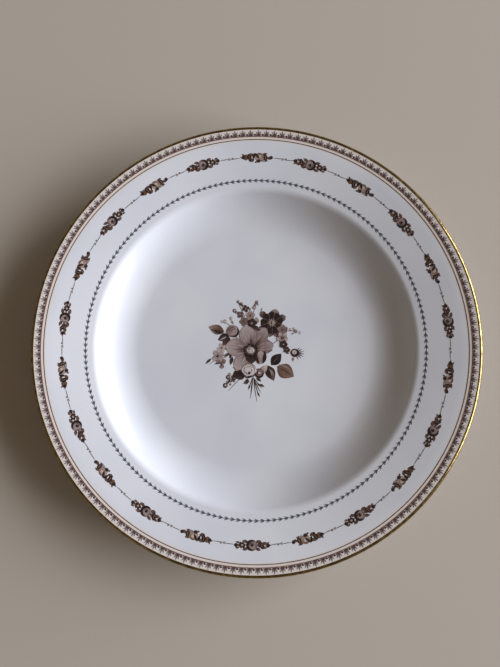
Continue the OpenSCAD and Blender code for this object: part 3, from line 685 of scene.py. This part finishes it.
fire(gathered("small_flowers"), "bouquet_small_flowers", sepia)

# ---------------------------------------------------------------- bouquet: anemone
# The large open flower in the middle: five pale petals streaked from their roots, and a
# pale boss in a ring of dark stamens.
EYE = (-2.7, -0.9)
for x, y, turn, long, wide in ((-3.0, -2.4, 227, 13.0, 9.4), (-1.2, -0.4, 14, 12.4, 9.0),
                               (-4.0, 0.4, 176, 13.6, 11.0), (-2.2, 1.2, 52, 14.0, 10.2),
                               (-3.2, 1.2, 101, 12.8, 10.0)):
    shade = 0.14 if turn in (14, 52) else 0.04
    lay(PETAL, x, y, turn, long, wide, (0.46 + shade, 0.22 + shade, 0.38 + shade, 0.04))
for turn, start, long, wide, tone in (
        (176, 4.4, 8.2, 1.1, 0.75), (166, 4.6, 7.0, 0.9, 0.65), (187, 4.6, 6.6, 0.9, 0.7),
        (196, 4.6, 5.0, 0.7, 0.5),
        (156, 4.6, 5.0, 0.7, 0.5), (88, 4.0, 5.6, 1.3, 0.85), (98, 4.2, 7.4, 0.8, 0.55),
        (76, 4.2, 5.0, 0.9, 0.7),
        (112, 4.4, 6.0, 0.8, 0.5), (124, 4.6, 4.6, 0.7, 0.5), (48, 4.4, 8.6, 1.5, 0.8),
        (58, 4.6, 7.8, 0.9, 0.6),
        (38, 4.6, 7.4, 1.2, 0.75), (66, 4.6, 4.6, 0.7, 0.6), (28, 4.8, 6.0, 0.8, 0.6),
        (14, 4.8, 5.4, 0.9, 0.6),
        (3, 4.8, 4.6, 0.8, 0.55), (222, 4.6, 6.0, 1.0, 0.6), (234, 4.6, 5.0, 0.8, 0.5),
        (212, 4.8, 4.8, 0.7, 0.5)):
    a = math.radians(turn)
    lay(LEAF, EYE[0] + (start - 1) * math.cos(a), EYE[1] + (start - 1) * math.sin(a),
            turn, long, wide,
        (tone, tone - 0.35, 0.3, 0.05))
for x, y, turn, long, wide in ((3.4, 11.2, 172, 4.0, 1.5), (2.0, 10.8, 60, 1.8, 1.3),
        (-10.4, 6.0, 128, 4.0, 0.5),
                               (7.4, -2.4, 30, 4.0, 0.6), (6.0, -2.6, 200, 3.6, 0.9)):
    lay(LEAF, x, y, turn, long, wide, (0.85, 0.65, 0.8, 0.05))
for x, y, turn, long, wide in ((-4.6, -3.2, -74, 5.6, 3.4), (-2.2, -3.4, -92, 5.8, 3.4),
        (0.4, -3.0, -112, 6.4, 3.2),
                               (-6.2, -2.6, -54, 4.2, 2.0), (1.6, -1.4, -70, 3.6, 2.2)):
    lay(LEAF, x, y, turn, long, wide, (1, 0.8, 1, 0.05))
for k in range(17):
    a, r = math.radians(360 * k / 17), 3.5 + 0.35 * (k % 3)
    lay(LEAF, EYE[0] + 2.1 * math.cos(a), EYE[1] + 1.8 * math.sin(a), math.degrees(a),
            r - 1.8, 0.55,
        (0.8, 0.9, 0.8, 0.05))
    dot(EYE[0] + r * math.cos(a), EYE[1] + 0.88 * r * math.sin(a), 0.58 + 0.12 * (k % 2),
            (1, 1, 1, 0))
dot(EYE[0], EYE[1], 2.4, (0.22, 0.06, 0.5, 0.1), 0.88)
for x, y, r, tone in ((-3.8, -0.3, 0.42, 0.9), (-3.1, -0.1, 0.3, 0.7), (-3.6, -1.4, 0.3, 0.6),
        (-1.9, -1.5, 0.32, 0.5),
                      (-2.4, -0.5, 0.26, 0.5), (-1.6, -0.6, 0.26, 0.4)):
    dot(x, y, r, (tone, tone, tone, 0))
fire(gathered("anemone"), "bouquet_anemone", sepia)

# ---------------------------------------------------------------- bouquet: roses
# A white rose, a small dark rose and two buds round the anemone, their petals drawn as
# crescents one inside the other.
lay(LEAF, 3.0, -14.6, 48, 6.4, 4.0, (0.35, 0.15, 0.5, 0.2))
lay(ROUND, 3.4, -9.0, 92, 7.8, 5.4, (0.4, 0.25, 0.5, 0.15))
lay(LEAF, 4.4, -9.0, 62, 8.2, 2.3, (1, 0.9, 1, 0), 40)
lay(LEAF, 2.4, -9.2, 118, 7.4, 1.9, (1, 0.85, 1, 0), -40)
for x, turn, tone in ((3.0, 96, 0.6), (3.8, 88, 0.55), (2.4, 104, 0.5)):
    lay(LINE, x, -7.8, turn, 5.0, 0.4, (tone, tone - 0.2, tone, 0.1))
dot(2.4, -14.6, 2.9, (0.6, 0.45, 0.85, 0.1))
arc(2.4, -14.6, 2.3, 170, 395, 1.2, (0.95, 1, 1, 0))
arc(2.4, -14.6, 1.2, 60, 250, 0.45, (0.8, 0.7, 0.7, 0))
dot(2.5, -14.4, 0.8, (0.1, 0.1, 0.5, 0))
dot(-3.6, -12.9, 4.5, (0.1, 0.04, 0.42, 0.05), 0.98)
for r, start, end, wide, tone in ((4.1, 196, 250, 0.9, 0.9), (4.1, 290, 345, 0.9, 0.9),
        (4.2, 20, 160, 0.4, 0.55),
                                  (3.1, 120, 215, 0.45, 0.6), (3.2, -20, 80, 0.45, 0.55),
                                  (2.3, 40, 150, 0.4, 0.6),
                                  (2.4, 190, 280, 0.5, 0.7), (1.5, -60, 60, 0.4, 0.55)):
    arc(-3.6, -12.9, r, start, end, wide, (tone, tone - 0.1, tone, 0.05))
dot(-3.5, -14.4, 0.75, (1, 1, 1, 0))
lay(LEAF, -5.6, -17.2, 8, 4.4, 1.3, (0.95, 0.8, 1, 0), 20)
dot(-13.3, 10.5, 3.9, (0.42, 0.32, 0.55, 0.1), 0.92)
arc(-13.3, 10.5, 3.2, -120, 40, 1.3, (0.85, 0.95, 1, 0.05))
arc(-13.3, 10.5, 3.5, 60, 220, 0.45, (0.6, 0.6, 0.6, 0.1))
arc(-13.4, 10.6, 2.1, 200, 20, 0.5, (0.7, 0.75, 0.7, 0.05))
arc(-13.2, 10.5, 1.1, 20, 230, 0.45, (0.8, 0.7, 0.7, 0.05))
arc(-13.6, 10.4, 2.5, 100, 170, 0.4, (0.6, 0.6, 0.6, 0.05))
fire(gathered("roses"), "bouquet_roses", sepia)
under.clear()

# ---------------------------------------------------------------- table, lights and camera
bpy.ops.mesh.primitive_plane_add(size=6.0, location=(0, 0, 0))
table = bpy.context.object
table.name = "table"
cloth, tree, shader = finish_of("plain_table_top", {"Roughness": 0.9,
        "Base Color": linear("beb3a4")})
wear(table, cloth)

world = bpy.data.worlds.new("room")
bpy.context.scene.world = world
world.use_nodes = True
world.node_tree.nodes["Background"].inputs[0].default_value = linear("ffe9d2")
world.node_tree.nodes["Background"].inputs[1].default_value = 0.16


def lamp(name, azimuth, elevation, distance, width, height, power, colour):
    light = bpy.data.lights.new(name, "AREA")
    light.shape = "RECTANGLE"
    light.size, light.size_y = width, height
    light.energy = power
    light.color = linear(colour)[:3]
    piece = bpy.data.objects.new(name, light)
    bpy.context.scene.collection.objects.link(piece)
    a, e = math.radians(azimuth), math.radians(elevation)
    place = Vector((math.cos(e) * math.cos(a), math.cos(e) * math.sin(a), math.sin(e))) * distance
    piece.location = place
    piece.rotation_euler = (-place).to_track_quat("-Z", "Y").to_euler()
    return piece


lamp("window", 5, 20, 5.0, 5.5, 3.0, 575, "ebf0fc")

camera = bpy.data.objects.new("camera", bpy.data.cameras.new("camera"))
bpy.context.scene.collection.objects.link(camera)
camera.location = (12.6 * MM, -29.0 * MM, 450 * MM)
camera.rotation_euler = (math.radians(4.92), math.radians(2.03), 0)
camera.data.sensor_fit = "VERTICAL"
camera.data.sensor_height = 36
camera.data.lens = 744.7 / 667 * 36
camera.data.clip_start = 0.01
bpy.context.scene.camera = camera

bpy.context.scene.view_settings.view_transform = "Standard"
